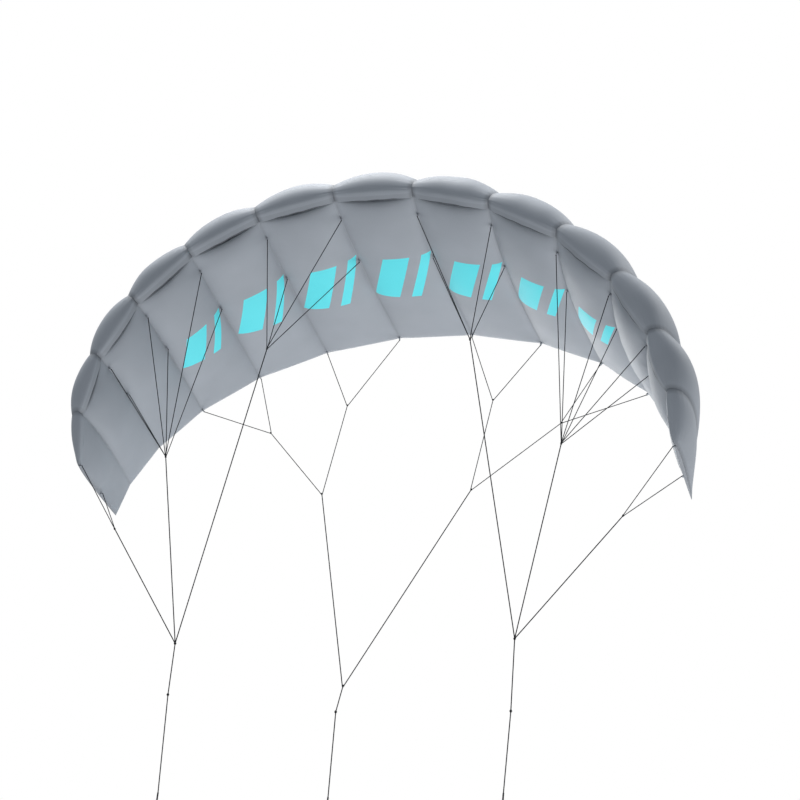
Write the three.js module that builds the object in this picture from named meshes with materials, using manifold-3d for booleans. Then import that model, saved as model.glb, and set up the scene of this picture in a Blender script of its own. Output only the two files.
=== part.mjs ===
// A three-line trainer kite (a ram-air foil) as it flies, in millimetres.
// +Z runs up the taut flying lines, +X along the span and +Y from the nose to the trailing edge.
// The origin lies in the canopy's plane of symmetry, level with the three line ends and with the two
// power lines in side view.
import * as THREE from "three";
import { mergeVertices } from "three/addons/utils/BufferGeometryUtils.js";
import Module from "manifold-3d";

const wasm = await Module();
wasm.setup();

// Plan of the canopy: one half, which the other mirrors
const CELLS = 13;
const CENTRE_CELL_WIDTH = 250;
const CELL_TAPER = 0.45; // the tip cell is narrower than the middle one by this share
const ROLL_EVEN = 70; // degrees of roll at the tip that grow evenly along the span
const ROLL_LATE = 23; // degrees that grow with the cube of the span
const ROOT_CHORD = 878;
const NOSE_SWEEP = 106; // how far back the nose lies at the tip, growing with the square of the span
const NOSE_ROUNDING = 134; // the part that grows with its fourth power
const TIP_SWEEP = 19; // further sweep of the tip rib's nose
const TAIL_CUT = 273; // how far forward the trailing edge lies at the tip
const CROWN_HEIGHT = 1920; // chord line of the middle cell above the line ends
const NOSE_LEAD = 213; // the middle cell's nose lies this far ahead of the power lines

// Rib profile, as shares of the chord
const CREST = 0.106;
const CREST_POWER = 0.58; // places the highest point at 30% of the chord
const BELLY = 0.038;
const BELLY_POWER = 0.7; // places the lowest point at 37% of the chord
const TIP_FULLNESS = 0.22; // the tip rib is a narrow strip: this share of the full height
const TAIL_HALF_THICKNESS = 1.3; // mm, room for two cloths at the trailing edge

// Cloth
const CLOTH_THICKNESS = 1;
const RIB_THICKNESS = 1;
const GAP = 0.3; // between pieces that are sewn or tied together
const EDGE_LEAN = 0.15; // room for a panel's inner edge, which leans towards its rib
const TIP_EDGE_LEAN = 0.6; // the same in the two tip cells, which taper sharply
const UPPER_BILLOW = 0.21; // rise of an upper panel between its ribs, over its width
const TIP_BILLOW = 0.5; // share of that rise in the two tip cells
const LOWER_BILLOW = 0.06;
const BILLOW_RISE = 1.1; // stretch of the profile over which the billow grows behind the lip
const LEAST_BILLOW = 0.002;
const UPPER_ROWS = 14;
const LOWER_ROWS = 8;
const CLOTH_COLUMNS = 4;
const PROFILE_STEP = 1e-3; // for the profile's slope

// Air intake: a lens-shaped slit between the nose's lip and the lower panel
const LIP_SHARE = 0.037;
const SLIT_WIDTH = 14;
const OUTER_SLIT_WIDTH = 8;
const SLIT_FULLNESS = 0.8;

// Tabs for the lines, on the ribs' lower edges
const FRONT_TAB_SHARE = 0.123;
const REAR_TAB_SHARE = 0.378;
const TIP_FRONT_TAB_SHARE = 0.035;
const TIP_REAR_TAB_SHARE = 0.57;
const BRAKE_TAB_INSET = 8; // middle of the tab ahead of the trailing edge
const TAB_DEPTH = 10;
const TIP_TAB_DEPTH = 4;
const TAB_WIDTH = 12;
const TAB_END_WIDTH = 8;
const FIRST_POWER_RIB = 2;
const FIRST_BRAKE_RIB = 3;
const BELLY_STEPS = 12;
const CREST_STEPS = 14;

// Lines
const BRIDLE_RADIUS = 1.3;
const LEG_RADIUS = 1.6;
const FLYING_LINE_RADIUS = 1.6;
const SLEEVE_RADIUS = 2.3;
const TIE_RADIUS = 2; // knot that ties a line to its tab
const KNOT_RADIUS = 2.8; // knot where lines meet
const LINE_SIDES = 8;
const LOOP_HEIGHT = 28;
const LOOP_HALF_WIDTH = 7.4;
const LOOP_SHOULDER = 9; // height of its widest place
const LOOP_FOOT = 3; // half of the loop's flat foot
const LOOP_CORD = 3;
const EYE_FOOT = 2;
const EYE_TOP = 20;
const SLEEVE_TOP = 62;

// Knots of the bridle, given for the right side
const OUTER_KNOT = [604, -38, 1115];
const INNER_KNOT = [315, -78, 1454];
const TIP_KNOT = [776, 69, 931];
const POWER_KNOT = [502, 0, 519];
const BRAKE_OUTER_KNOT = [479, 508, 1489];
const BRAKE_INNER_KNOT = [242, 543, 1601];
const BRAKE_LOWER_KNOT = [239, 381, 1194];
const BRAKE_CENTRE_KNOT = [0, 57, 405];

// Tops and feet of the flying lines, which differ from side to side
const LEFT_LINE_TOP = [-501, 0, 359];
const LEFT_LINE_FOOT = [-488, 0, 0];
const RIGHT_LINE_TOP = [507, 0, 301];
const RIGHT_LINE_FOOT = [504, 0, 0];
const BRAKE_LINE_TOP = [0, 16, 309];
const BRAKE_LINE_FOOT = [0, 33, 0];

const cloth = new THREE.MeshStandardMaterial({ color: 0x979ca4, roughness: 0.75, metalness: 0 });
const noseCloth = new THREE.MeshStandardMaterial({ color: 0xa6aab0, roughness: 0.7, metalness: 0 });
const ribCloth = new THREE.MeshStandardMaterial({ color: 0x868c95, roughness: 0.8, metalness: 0 });
const line = new THREE.MeshStandardMaterial({ color: 0x202328, roughness: 0.85, metalness: 0 });

const kite = new THREE.Group();
const halfCells = (CELLS + 1) / 2;
const cellWidths = Array.from(
  { length: halfCells },
  (_, c) => CENTRE_CELL_WIDTH * (1 - CELL_TAPER * (c / (halfCells - 1)) ** 2),
);
const halfSpan = cellWidths.reduce((sum, width) => sum + width) - CENTRE_CELL_WIDTH / 2;

function rollAt(share) {
  return THREE.MathUtils.degToRad(ROLL_EVEN * share + ROLL_LATE * share ** 3);
}

// The right half's ribs from the middle out: each cell hangs at the roll of its own middle.
function halfRibs() {
  const ribs = [];
  let x = 0;
  let z = CROWN_HEIGHT;
  let reach = 0;
  cellWidths.forEach((width, c) => {
    const step = c === 0 ? width / 2 : width;
    const roll = c === 0 ? 0 : rollAt((reach + step / 2) / halfSpan);
    x += step * Math.cos(roll);
    z -= step * Math.sin(roll);
    reach += step;
    const share = reach / halfSpan;
    const isTip = c === halfCells - 1;
    const nose = NOSE_SWEEP * share ** 2 + NOSE_ROUNDING * share ** 4 - NOSE_LEAD;
    const tail = ROOT_CHORD - TAIL_CUT * share ** 2 - NOSE_LEAD;
    ribs.push({
      x,
      z,
      roll: rollAt(share),
      nose: nose + (isTip ? TIP_SWEEP : 0),
      tail,
      fullness: isTip ? TIP_FULLNESS : 1,
    });
  });
  return ribs;
}

function placeRib({ x, z, roll, nose, tail, fullness }) {
  return {
    foot: new THREE.Vector3(x, nose, z),
    up: new THREE.Vector3(Math.sin(roll), 0, Math.cos(roll)),
    across: new THREE.Vector3(Math.cos(roll), 0, -Math.sin(roll)),
    chord: tail - nose,
    fullness,
  };
}

const rightRibs = halfRibs();
const leftRibs = rightRibs.map((rib) => ({ ...rib, x: -rib.x, roll: -rib.roll })).reverse();
const ribs = [...leftRibs, ...rightRibs].map(placeRib);

// A point of the profile, [distance behind the nose, height]. Its share of the chord is t squared;
// t runs from -1 at the trailing edge, along the belly to 0 at the nose, and over the crest to 1.
function profilePoint(t, { chord, fullness }) {
  const share = t * t;
  const [depth, power] = t < 0 ? [-BELLY, BELLY_POWER] : [CREST, CREST_POWER];
  const bend = share ** power;
  const tail = Math.sign(t) * TAIL_HALF_THICKNESS * share;
  return [share * chord, 4 * depth * fullness * chord * (bend - bend * bend) + tail];
}

function profileNormal(t, rib) {
  const [y0, z0] = profilePoint(t - PROFILE_STEP, rib);
  const [y1, z1] = profilePoint(t + PROFILE_STEP, rib);
  return new THREE.Vector2(z0 - z1, y1 - y0).normalize();
}

function inRib(rib, y, z, sideways = 0) {
  return rib.foot
    .clone()
    .add(new THREE.Vector3(0, y, 0))
    .addScaledVector(rib.up, z)
    .addScaledVector(rib.across, sideways);
}

function normalInSpace(rib, t) {
  const normal = profileNormal(t, rib);
  return new THREE.Vector3(0, normal.x, 0).addScaledVector(rib.up, normal.y);
}

function isTipCell(cell) {
  return cell === 0 || cell === CELLS - 1;
}

// A cell's cloth at profile parameter t: a circular arc from rib to rib, v = 0 to 1 across the cell.
function clothPoint(cell, t, v, billow) {
  const lean = isTipCell(cell) ? TIP_EDGE_LEAN : EDGE_LEAN;
  const edge = RIB_THICKNESS / 2 + GAP + lean;
  const left = inRib(ribs[cell], ...profilePoint(t, ribs[cell]), edge);
  const right = inRib(ribs[cell + 1], ...profilePoint(t, ribs[cell + 1]), -edge);
  const width = left.distanceTo(right);
  const along = right.clone().sub(left).normalize();
  const out = normalInSpace(ribs[cell], t).add(normalInSpace(ribs[cell + 1], t));
  out.addScaledVector(along, -out.dot(along)).normalize();
  const half = 2 * Math.atan(2 * Math.max(billow, LEAST_BILLOW));
  const radius = width / 2 / Math.sin(half);
  const turn = (2 * v - 1) * half;
  const outer = left.add(right).multiplyScalar(0.5);
  outer.addScaledVector(along, radius * Math.sin(turn));
  outer.addScaledVector(out, radius * (Math.cos(turn) - Math.cos(half)));
  const inner = outer.clone();
  inner.addScaledVector(along, -CLOTH_THICKNESS * Math.sin(turn));
  inner.addScaledVector(out, -CLOTH_THICKNESS * Math.cos(turn));
  return [outer, inner];
}

// A closed sheet from a grid of [outer, inner] points: both faces, and a rim all round.
function sheet(rows, columns, pointAt, outwards) {
  const positions = [];
  for (let r = 0; r <= rows; r++) {
    for (let c = 0; c <= columns; c++) {
      pointAt(r / rows, c / columns).forEach((point) => positions.push(...point.toArray()));
    }
  }
  const outer = (r, c) => 2 * (r * (columns + 1) + c);
  const inner = (r, c) => outer(r, c) + 1;
  const faces = [];
  const quad = (a, b, c, d) => {
    faces.push(...(outwards ? [a, b, c, a, c, d] : [a, c, b, a, d, c]));
  };
  for (let r = 0; r < rows; r++) {
    for (let c = 0; c < columns; c++) {
      quad(outer(r, c), outer(r, c + 1), outer(r + 1, c + 1), outer(r + 1, c));
      quad(inner(r, c), inner(r + 1, c), inner(r + 1, c + 1), inner(r, c + 1));
    }
    quad(outer(r, 0), outer(r + 1, 0), inner(r + 1, 0), inner(r, 0));
    quad(outer(r, columns), inner(r, columns), inner(r + 1, columns), outer(r + 1, columns));
  }
  for (let c = 0; c < columns; c++) {
    quad(outer(0, c), inner(0, c), inner(0, c + 1), outer(0, c + 1));
    quad(outer(rows, c), outer(rows, c + 1), inner(rows, c + 1), inner(rows, c));
  }
  const geometry = new THREE.BufferGeometry();
  geometry.setAttribute("position", new THREE.Float32BufferAttribute(positions, 3));
  geometry.setIndex(faces);
  return geometry;
}

function addMesh(name, geometry, material) {
  const mesh = new THREE.Mesh(geometry, material);
  mesh.name = name;
  kite.add(mesh);
  return mesh;
}

function numbered(name, index) {
  return `${name}_${String(index + 1).padStart(2, "0")}`;
}

// Half the intake's width at v across a cell; the two tip cells have none.
function slitHalf(cell, v) {
  const fromTip = Math.min(cell, CELLS - 1 - cell);
  const width = [0, OUTER_SLIT_WIDTH][fromTip] ?? SLIT_WIDTH;
  return (width / 2) * Math.sin(Math.PI * v) ** SLIT_FULLNESS;
}

function meanChord(cell) {
  return (ribs[cell].chord + ribs[cell + 1].chord) / 2;
}

// The upper panel starts at the lip under the nose, and wraps the nose on its way to the tail.
function upperPanel(cell) {
  const fullness = isTipCell(cell) ? TIP_BILLOW : 1;
  return sheet(
    UPPER_ROWS,
    CLOTH_COLUMNS,
    (s, v) => {
      const lip = -Math.sqrt(LIP_SHARE - slitHalf(cell, v) / meanChord(cell));
      const t = lip + s * (1 - lip);
      const rise = Math.min((t + Math.sqrt(LIP_SHARE)) / BILLOW_RISE, 1);
      const swell = Math.sin((Math.PI / 2) * Math.max(rise, 0)) * (1 - t ** 4);
      return clothPoint(cell, t, v, fullness * UPPER_BILLOW * swell);
    },
    true,
  );
}

function lowerPanel(cell) {
  return sheet(
    LOWER_ROWS,
    CLOTH_COLUMNS,
    (s, v) => {
      const front = Math.sqrt(LIP_SHARE + (slitHalf(cell, v) + GAP) / meanChord(cell));
      const t = -(front + s * (1 - front));
      return clothPoint(cell, t, v, LOWER_BILLOW * Math.sin(Math.PI * s));
    },
    false,
  );
}

for (let cell = 0; cell < CELLS; cell++) {
  addMesh(numbered("upper_panel", cell), upperPanel(cell), noseCloth);
  addMesh(numbered("lower_panel", cell), lowerPanel(cell), cloth);
}

// Where each rib's tabs sit, as distances behind its nose.
function tabPlaces(index) {
  const rib = ribs[index];
  const fromTip = Math.min(index, CELLS - index);
  if (fromTip === 0) {
    return { front: TIP_FRONT_TAB_SHARE * rib.chord, rear: TIP_REAR_TAB_SHARE * rib.chord };
  }
  const places = {};
  if (fromTip >= FIRST_POWER_RIB) {
    places.front = FRONT_TAB_SHARE * rib.chord;
    places.rear = REAR_TAB_SHARE * rib.chord;
  }
  if (fromTip >= FIRST_BRAKE_RIB) {
    places.brake = rib.chord - BRAKE_TAB_INSET;
  }
  return places;
}

function bellyHeight(y, rib) {
  return profilePoint(-Math.sqrt(y / rib.chord), rib)[1];
}

// How far a rib's tabs hang below its belly; those of the two tips are short.
function tabDepth(index) {
  return index === 0 || index === CELLS ? TIP_TAB_DEPTH : TAB_DEPTH;
}

// The rib's outline: the profile, with a tapered tab below its belly at each place.
function ribOutline(index) {
  const rib = ribs[index];
  const places = Object.values(tabPlaces(index));
  const isClear = ([y]) => places.every((place) => Math.abs(y - place) > TAB_WIDTH);
  const belly = [];
  for (let i = 0; i < BELLY_STEPS; i++) {
    belly.push(profilePoint(-1 + i / BELLY_STEPS, rib));
  }
  const tail = belly.shift();
  const edge = belly.filter(isClear);
  places.forEach((place) => {
    const half = TAB_WIDTH / 2;
    const end = TAB_END_WIDTH / 2;
    const foot = bellyHeight(place, rib) - tabDepth(index);
    edge.push([place + half, bellyHeight(place + half, rib)], [place + end, foot]);
    edge.push([place - end, foot], [place - half, bellyHeight(place - half, rib)]);
  });
  edge.sort((a, b) => b[0] - a[0]);
  const crest = [];
  for (let i = 0; i <= CREST_STEPS; i++) {
    crest.push(profilePoint(i / CREST_STEPS, rib));
  }
  return [tail, ...edge, ...crest].map(([y, z]) => new THREE.Vector2(y, z));
}

ribs.forEach((rib, index) => {
  const geometry = new THREE.ExtrudeGeometry(new THREE.Shape(ribOutline(index)), {
    depth: RIB_THICKNESS,
    bevelEnabled: false,
  });
  geometry.translate(0, 0, -RIB_THICKNESS / 2);
  const mesh = addMesh(numbered("rib", index), geometry, ribCloth);
  const turn = new THREE.Matrix4().makeBasis(new THREE.Vector3(0, 1, 0), rib.up, rib.across);
  mesh.quaternion.setFromRotationMatrix(turn);
  mesh.position.copy(rib.foot);
});

const MERGE_DISTANCE = 1e-4;

function toSolid(geometry) {
  const bare = geometry.clone();
  bare.deleteAttribute("normal");
  bare.deleteAttribute("uv");
  const merged = mergeVertices(bare, MERGE_DISTANCE);
  return new wasm.Manifold(
    new wasm.Mesh({
      numProp: 3,
      vertProperties: merged.attributes.position.array,
      triVerts: new Uint32Array(merged.index.array),
    }),
  );
}

function joined(geometries) {
  const solid = geometries.map(toSolid).reduce((sum, next) => sum.add(next));
  const mesh = solid.getMesh();
  const geometry = new THREE.BufferGeometry();
  geometry.setAttribute("position", new THREE.BufferAttribute(mesh.vertProperties, 3));
  geometry.setIndex(new THREE.BufferAttribute(mesh.triVerts, 1));
  return geometry;
}

function stretch(from, to, radius) {
  const section = new THREE.Shape(
    Array.from({ length: LINE_SIDES }, (_, i) => {
      const angle = (2 * Math.PI * i) / LINE_SIDES;
      return new THREE.Vector2(radius * Math.cos(angle), radius * Math.sin(angle));
    }),
  );
  return new THREE.ExtrudeGeometry(section, {
    steps: 1,
    bevelEnabled: false,
    extrudePath: new THREE.LineCurve3(from, to),
  });
}

function knot(at, radius) {
  return new THREE.IcosahedronGeometry(radius, 0).translate(at.x, at.y, at.z);
}

// The same knot on the left (side -1) or the right (side 1).
function onSide([x, y, z], side) {
  return new THREE.Vector3(side * x, y, z);
}

// Where a line is tied under a rib's tab.
function tiePoint(index, tab) {
  const rib = ribs[index];
  const y = tabPlaces(index)[tab];
  return inRib(rib, y, bellyHeight(y, rib) - tabDepth(index) - GAP - TIE_RADIUS);
}

// The start of a line that is looped to the knot at from and runs towards to.
function pastKnot(from, to) {
  return from.clone().add(to.clone().sub(from).setLength(KNOT_RADIUS + GAP));
}

// Lines from rib tabs down to one knot.
function fan(name, ties, apex) {
  const pieces = ties.flatMap((tie) => [stretch(tie, apex, BRIDLE_RADIUS), knot(tie, TIE_RADIUS)]);
  addMesh(name, joined([...pieces, knot(apex, KNOT_RADIUS)]), line);
}

// Legs from knots above down to one knot, and on to the flying line where a tail is given.
function legs(name, tops, apex, radius, tail) {
  const pieces = tops.map((top) => stretch(pastKnot(top, apex), apex, radius));
  if (tail) {
    pieces.push(stretch(apex, tail, radius), knot(tail, KNOT_RADIUS));
  }
  addMesh(name, joined([...pieces, knot(apex, KNOT_RADIUS)]), line);
}

const sides = [
  { name: "left", side: -1, ribAt: (fromTip) => fromTip, lineTop: LEFT_LINE_TOP },
  { name: "right", side: 1, ribAt: (fromTip) => CELLS - fromTip, lineTop: RIGHT_LINE_TOP },
];

for (const { name, side, ribAt, lineTop } of sides) {
  const at = (place) => onSide(place, side);
  const powerTies = (fromTip) =>
    ["front", "rear"].map((tab) => tiePoint(ribAt(fromTip), tab));
  const brakeTies = (...fromTips) => fromTips.map((fromTip) => tiePoint(ribAt(fromTip), "brake"));
  fan(`power_fan_outer_${name}`, [2, 3, 4].flatMap(powerTies), at(OUTER_KNOT));
  fan(`power_fan_inner_${name}`, [5, 6].flatMap(powerTies), at(INNER_KNOT));
  fan(`tip_line_${name}`, powerTies(0), at(TIP_KNOT));
  legs(
    `power_legs_${name}`,
    [OUTER_KNOT, INNER_KNOT, TIP_KNOT].map(at),
    at(POWER_KNOT),
    LEG_RADIUS,
    new THREE.Vector3(...lineTop),
  );
  fan(`brake_line_outer_${name}`, brakeTies(3, 4), at(BRAKE_OUTER_KNOT));
  fan(`brake_line_inner_${name}`, brakeTies(5, 6), at(BRAKE_INNER_KNOT));
  legs(
    `brake_line_middle_${name}`,
    [BRAKE_OUTER_KNOT, BRAKE_INNER_KNOT].map(at),
    at(BRAKE_LOWER_KNOT),
    BRIDLE_RADIUS,
  );
}
legs(
  "brake_legs",
  [onSide(BRAKE_LOWER_KNOT, -1), onSide(BRAKE_LOWER_KNOT, 1)],
  new THREE.Vector3(...BRAKE_CENTRE_KNOT),
  LEG_RADIUS,
  new THREE.Vector3(...BRAKE_LINE_TOP),
);

// The flat loop at a line's end, open in the middle, with a flat foot at z = 0.
function endLoop(x, y) {
  const outline = [
    [-LOOP_FOOT, 0],
    [LOOP_FOOT, 0],
    [LOOP_HALF_WIDTH, LOOP_SHOULDER],
    [LOOP_CORD / 2, LOOP_HEIGHT],
    [-LOOP_CORD / 2, LOOP_HEIGHT],
    [-LOOP_HALF_WIDTH, LOOP_SHOULDER],
  ];
  const eye = [
    [-EYE_FOOT, LOOP_CORD],
    [-LOOP_HALF_WIDTH + LOOP_CORD, LOOP_SHOULDER],
    [0, EYE_TOP],
    [LOOP_HALF_WIDTH - LOOP_CORD, LOOP_SHOULDER],
    [EYE_FOOT, LOOP_CORD],
  ];
  const toPoints = (corners) => corners.map(([a, b]) => new THREE.Vector2(a, b));
  const shape = new THREE.Shape(toPoints(outline));
  shape.holes.push(new THREE.Path(toPoints(eye)));
  return new THREE.ExtrudeGeometry(shape, { depth: LOOP_CORD, bevelEnabled: false })
    .rotateX(Math.PI / 2)
    .translate(x, y + LOOP_CORD / 2, 0);
}

function flyingLine(name, topKnot, [x, y]) {
  const knotCentre = new THREE.Vector3(...topKnot);
  const sleeveTop = new THREE.Vector3(x, y, SLEEVE_TOP);
  const sleeveFoot = new THREE.Vector3(x, y, LOOP_HEIGHT - LOOP_CORD);
  const pieces = [
    stretch(pastKnot(knotCentre, sleeveFoot), sleeveFoot, FLYING_LINE_RADIUS),
    stretch(sleeveTop, sleeveFoot, SLEEVE_RADIUS),
    endLoop(x, y),
  ];
  addMesh(name, joined(pieces), line);
}

flyingLine("flying_line_left", LEFT_LINE_TOP, LEFT_LINE_FOOT);
flyingLine("flying_line_right", RIGHT_LINE_TOP, RIGHT_LINE_FOOT);
flyingLine("flying_line_brake", BRAKE_LINE_TOP, BRAKE_LINE_FOOT);

export default kite;
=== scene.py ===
import math
import bpy
import numpy as np
from mathutils import Matrix


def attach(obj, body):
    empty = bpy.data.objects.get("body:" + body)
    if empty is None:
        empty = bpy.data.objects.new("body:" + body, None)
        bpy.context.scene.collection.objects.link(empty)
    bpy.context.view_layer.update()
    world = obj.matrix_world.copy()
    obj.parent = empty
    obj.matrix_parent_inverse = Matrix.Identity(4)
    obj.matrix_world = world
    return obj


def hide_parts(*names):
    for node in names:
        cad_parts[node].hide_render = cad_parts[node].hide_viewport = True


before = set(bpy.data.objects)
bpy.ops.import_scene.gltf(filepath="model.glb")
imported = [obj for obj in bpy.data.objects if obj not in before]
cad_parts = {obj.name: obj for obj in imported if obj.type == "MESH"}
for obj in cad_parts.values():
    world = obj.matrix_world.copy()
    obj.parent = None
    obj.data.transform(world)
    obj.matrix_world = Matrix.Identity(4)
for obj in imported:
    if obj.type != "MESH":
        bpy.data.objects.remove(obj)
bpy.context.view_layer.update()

print("frame loaded:", len(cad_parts), "nodes")

# Camera: below and in front of the kite, looking up, slightly rolled

cameraSettings = {
    "place": (2.0388, -6.4756, -2.4182),
    "azimuth": 16.70,  # degrees, as are the elevation and the roll
    "elevation": -28.82,
    "roll": 6.04,
    "lens": 116.52,  # millimetres, as is the sensor
    "sensor": 36.0,
}


def placedAxes(right, up, back, place):
    # a matrix whose columns are the three directions and the place
    rows = [[*row, place[i]] for i, row in enumerate(zip(right, up, back))]
    return Matrix(rows + [[0, 0, 0, 1]])


def addCamera(settings):
    # forward from azimuth and elevation; right and up turned about it by the roll
    azimuth, elevation, roll = (math.radians(settings[key]) for key in ("azimuth", "elevation", "roll"))
    forward = np.array([
        -math.sin(azimuth) * math.cos(elevation),
        math.cos(azimuth) * math.cos(elevation),
        -math.sin(elevation),
    ])
    levelRight = np.array([math.cos(azimuth), math.sin(azimuth), 0.0])
    levelUp = np.cross(levelRight, forward)
    right = math.cos(roll) * levelRight + math.sin(roll) * levelUp
    up = math.cos(roll) * levelUp - math.sin(roll) * levelRight
    data = bpy.data.cameras.new("camera")
    data.sensor_width = settings["sensor"]
    data.lens = settings["lens"]
    camera = bpy.data.objects.new("camera", data)
    camera.matrix_world = placedAxes(right, up, -forward, settings["place"])
    bpy.context.collection.objects.link(camera)
    bpy.context.scene.camera = camera


addCamera(cameraSettings)

# Canopy plan and rib profile, as the part's source has them, in metres and degrees

plan = {
    "cells": 13,
    "centreCellWidth": 0.250,
    "cellTaper": 0.45,
    "rollEven": 70,
    "rollLate": 23,
    "rootChord": 0.878,
    "noseSweep": 0.106,
    "noseRounding": 0.134,
    "tipSweep": 0.019,
    "tailCut": 0.273,
    "crownHeight": 1.920,
    "noseLead": 0.213,
}
profile = {
    "crest": 0.106,  # shares of the chord
    "crestPower": 0.58,
    "belly": 0.038,
    "bellyPower": 0.7,
    "tipFullness": 0.22,
    "tailHalf": 0.0005,
}


def planRibs():
    # each cell hangs at the roll of its own middle; nose and tail are even powers of the share of the span
    halfCells = (plan["cells"] + 1) // 2
    order = np.arange(halfCells)
    steps = plan["centreCellWidth"] * (1 - plan["cellTaper"] * (order / (halfCells - 1)) ** 2)
    steps[0] /= 2
    reach = np.cumsum(steps)
    share = reach / reach[-1]

    def rollAt(place):
        # evenly growing roll plus one that grows with the cube of the place
        return np.radians(plan["rollEven"] * place + plan["rollLate"] * place ** 3)

    cellRoll = rollAt((reach - steps / 2) / reach[-1])
    cellRoll[0] = 0
    isTip = order == halfCells - 1
    nose = plan["noseSweep"] * share ** 2 + plan["noseRounding"] * share ** 4
    nose = nose - plan["noseLead"] + isTip * plan["tipSweep"]
    half = {
        "x": np.cumsum(steps * np.cos(cellRoll)),
        "z": plan["crownHeight"] - np.cumsum(steps * np.sin(cellRoll)),
        "roll": rollAt(share),
        "nose": nose,
        "chord": plan["rootChord"] - plan["tailCut"] * share ** 2 - plan["noseLead"] - nose,
        "fullness": np.where(isTip, profile["tipFullness"], 1.0),
        "reach": reach,
    }
    signs = {"x": -1, "roll": -1, "reach": -1}
    return {key: np.concatenate([signs.get(key, 1) * part[::-1], part]) for key, part in half.items()}


ribs = planRibs()
ribCount = plan["cells"] + 1


def profilePoint(t, rib):
    # share of the chord = t squared, on the belly where t < 0; height = 4 x depth x (bend - bend squared)
    share = t * t
    depth = np.where(t < 0, -profile["belly"], profile["crest"])
    bend = share ** np.where(t < 0, profile["bellyPower"], profile["crestPower"])
    chord = ribs["chord"][rib]
    height = 4 * depth * ribs["fullness"][rib] * chord * (bend - bend * bend)
    return share * chord, height + np.sign(t) * profile["tailHalf"] * share


def ribAxes(rib):
    # up and sideways, both turned by the rib's roll about the line from nose to tail
    roll = ribs["roll"][rib]
    up = np.array([np.sin(roll), 0.0, np.cos(roll)])
    across = np.array([np.cos(roll), 0.0, -np.sin(roll)])
    return up, across


def inRib(rib, y, z, sideways=0.0):
    # nose of the rib, plus y back along the chord, z up and sideways out of the rib's plane
    up, across = ribAxes(rib)
    y, z, sideways = (np.asarray(value, float)[..., None] for value in (y, z, sideways))
    foot = np.array([ribs["x"][rib], ribs["nose"][rib], ribs["z"][rib]])
    return foot + y * np.array([0.0, 1.0, 0.0]) + z * up + sideways * across


def bellyHeight(y, rib):
    # height of the belly at y along the chord, where t = -square root of the share
    return profilePoint(-np.sqrt(y / ribs["chord"][rib]), rib)[1]


tabs = {
    "front": 0.123,  # shares of the chord, the rest in metres
    "rear": 0.378,
    "tipFront": 0.035,
    "tipRear": 0.57,
    "brakeInset": 0.008,
    "depth": 0.010,
    "tipDepth": 0.004,
    "tieDrop": 0.0023,  # centre of the tie below the tab's foot
    "firstPowerRib": 2,  # counted from the tip
    "firstBrakeRib": 3,
}


def tabPlaces(rib):
    # how far each of the rib's tabs lies behind its nose
    fromTip = min(rib, ribCount - 1 - rib)
    chord = ribs["chord"][rib]
    if fromTip == 0:
        return {"front": tabs["tipFront"] * chord, "rear": tabs["tipRear"] * chord}
    places = {}
    if fromTip >= tabs["firstPowerRib"]:
        places = {"front": tabs["front"] * chord, "rear": tabs["rear"] * chord}
    if fromTip >= tabs["firstBrakeRib"]:
        places["brake"] = chord - tabs["brakeInset"]
    return places


def tabDepth(rib):
    return tabs["tipDepth"] if rib in (0, ribCount - 1) else tabs["depth"]


def tiePoint(rib, tab):
    # middle of the tie under a tab
    y = tabPlaces(rib)[tab]
    return inRib(rib, y, bellyHeight(y, rib) - tabDepth(rib) - tabs["tieDrop"])


# Meshes from grids

tube = {
    "across": (0.31, 0.82, 0.48),  # a direction that no cord has
    "endShare": 0.02,  # of the radius, at the drawn-in ends
}
leastLength = 1e-12  # stands in for a normal of no length


def meshFromArrays(name, points, quads, uvs, material, smooth=True):
    # quads index the points; every UV layer has one pair for each point
    mesh = bpy.data.meshes.new(name)
    mesh.vertices.add(len(points))
    mesh.vertices.foreach_set("co", points.astype(np.float32).ravel())
    mesh.loops.add(quads.size)
    mesh.loops.foreach_set("vertex_index", quads.astype(np.int32).ravel())
    mesh.polygons.add(len(quads))
    mesh.polygons.foreach_set("loop_start", np.arange(len(quads), dtype=np.int32) * quads.shape[1])
    mesh.polygons.foreach_set("use_smooth", np.full(len(quads), smooth))
    for layerName, uv in uvs.items():
        layer = mesh.uv_layers.new(name=layerName)
        layer.data.foreach_set("uv", uv[quads.ravel()].astype(np.float32).ravel())
    mesh.update(calc_edges=True)
    mesh.materials.append(material)
    piece = bpy.data.objects.new(name, mesh)
    bpy.context.collection.objects.link(piece)
    return piece


def gridQuads(rows, columns, flip=False):
    # one quad for each four neighbours in a grid of points
    index = np.arange(rows * columns).reshape(rows, columns)
    quads = np.stack([index[:-1, :-1], index[:-1, 1:], index[1:, 1:], index[1:, :-1]], -1).reshape(-1, 4)
    return quads[:, ::-1] if flip else quads


def gridNormals(points):
    # cross product of the two grid directions, of unit length
    normal = np.cross(np.gradient(points, axis=1), np.gradient(points, axis=0))
    return normal / np.maximum(np.linalg.norm(normal, axis=-1, keepdims=True), leastLength)


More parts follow.
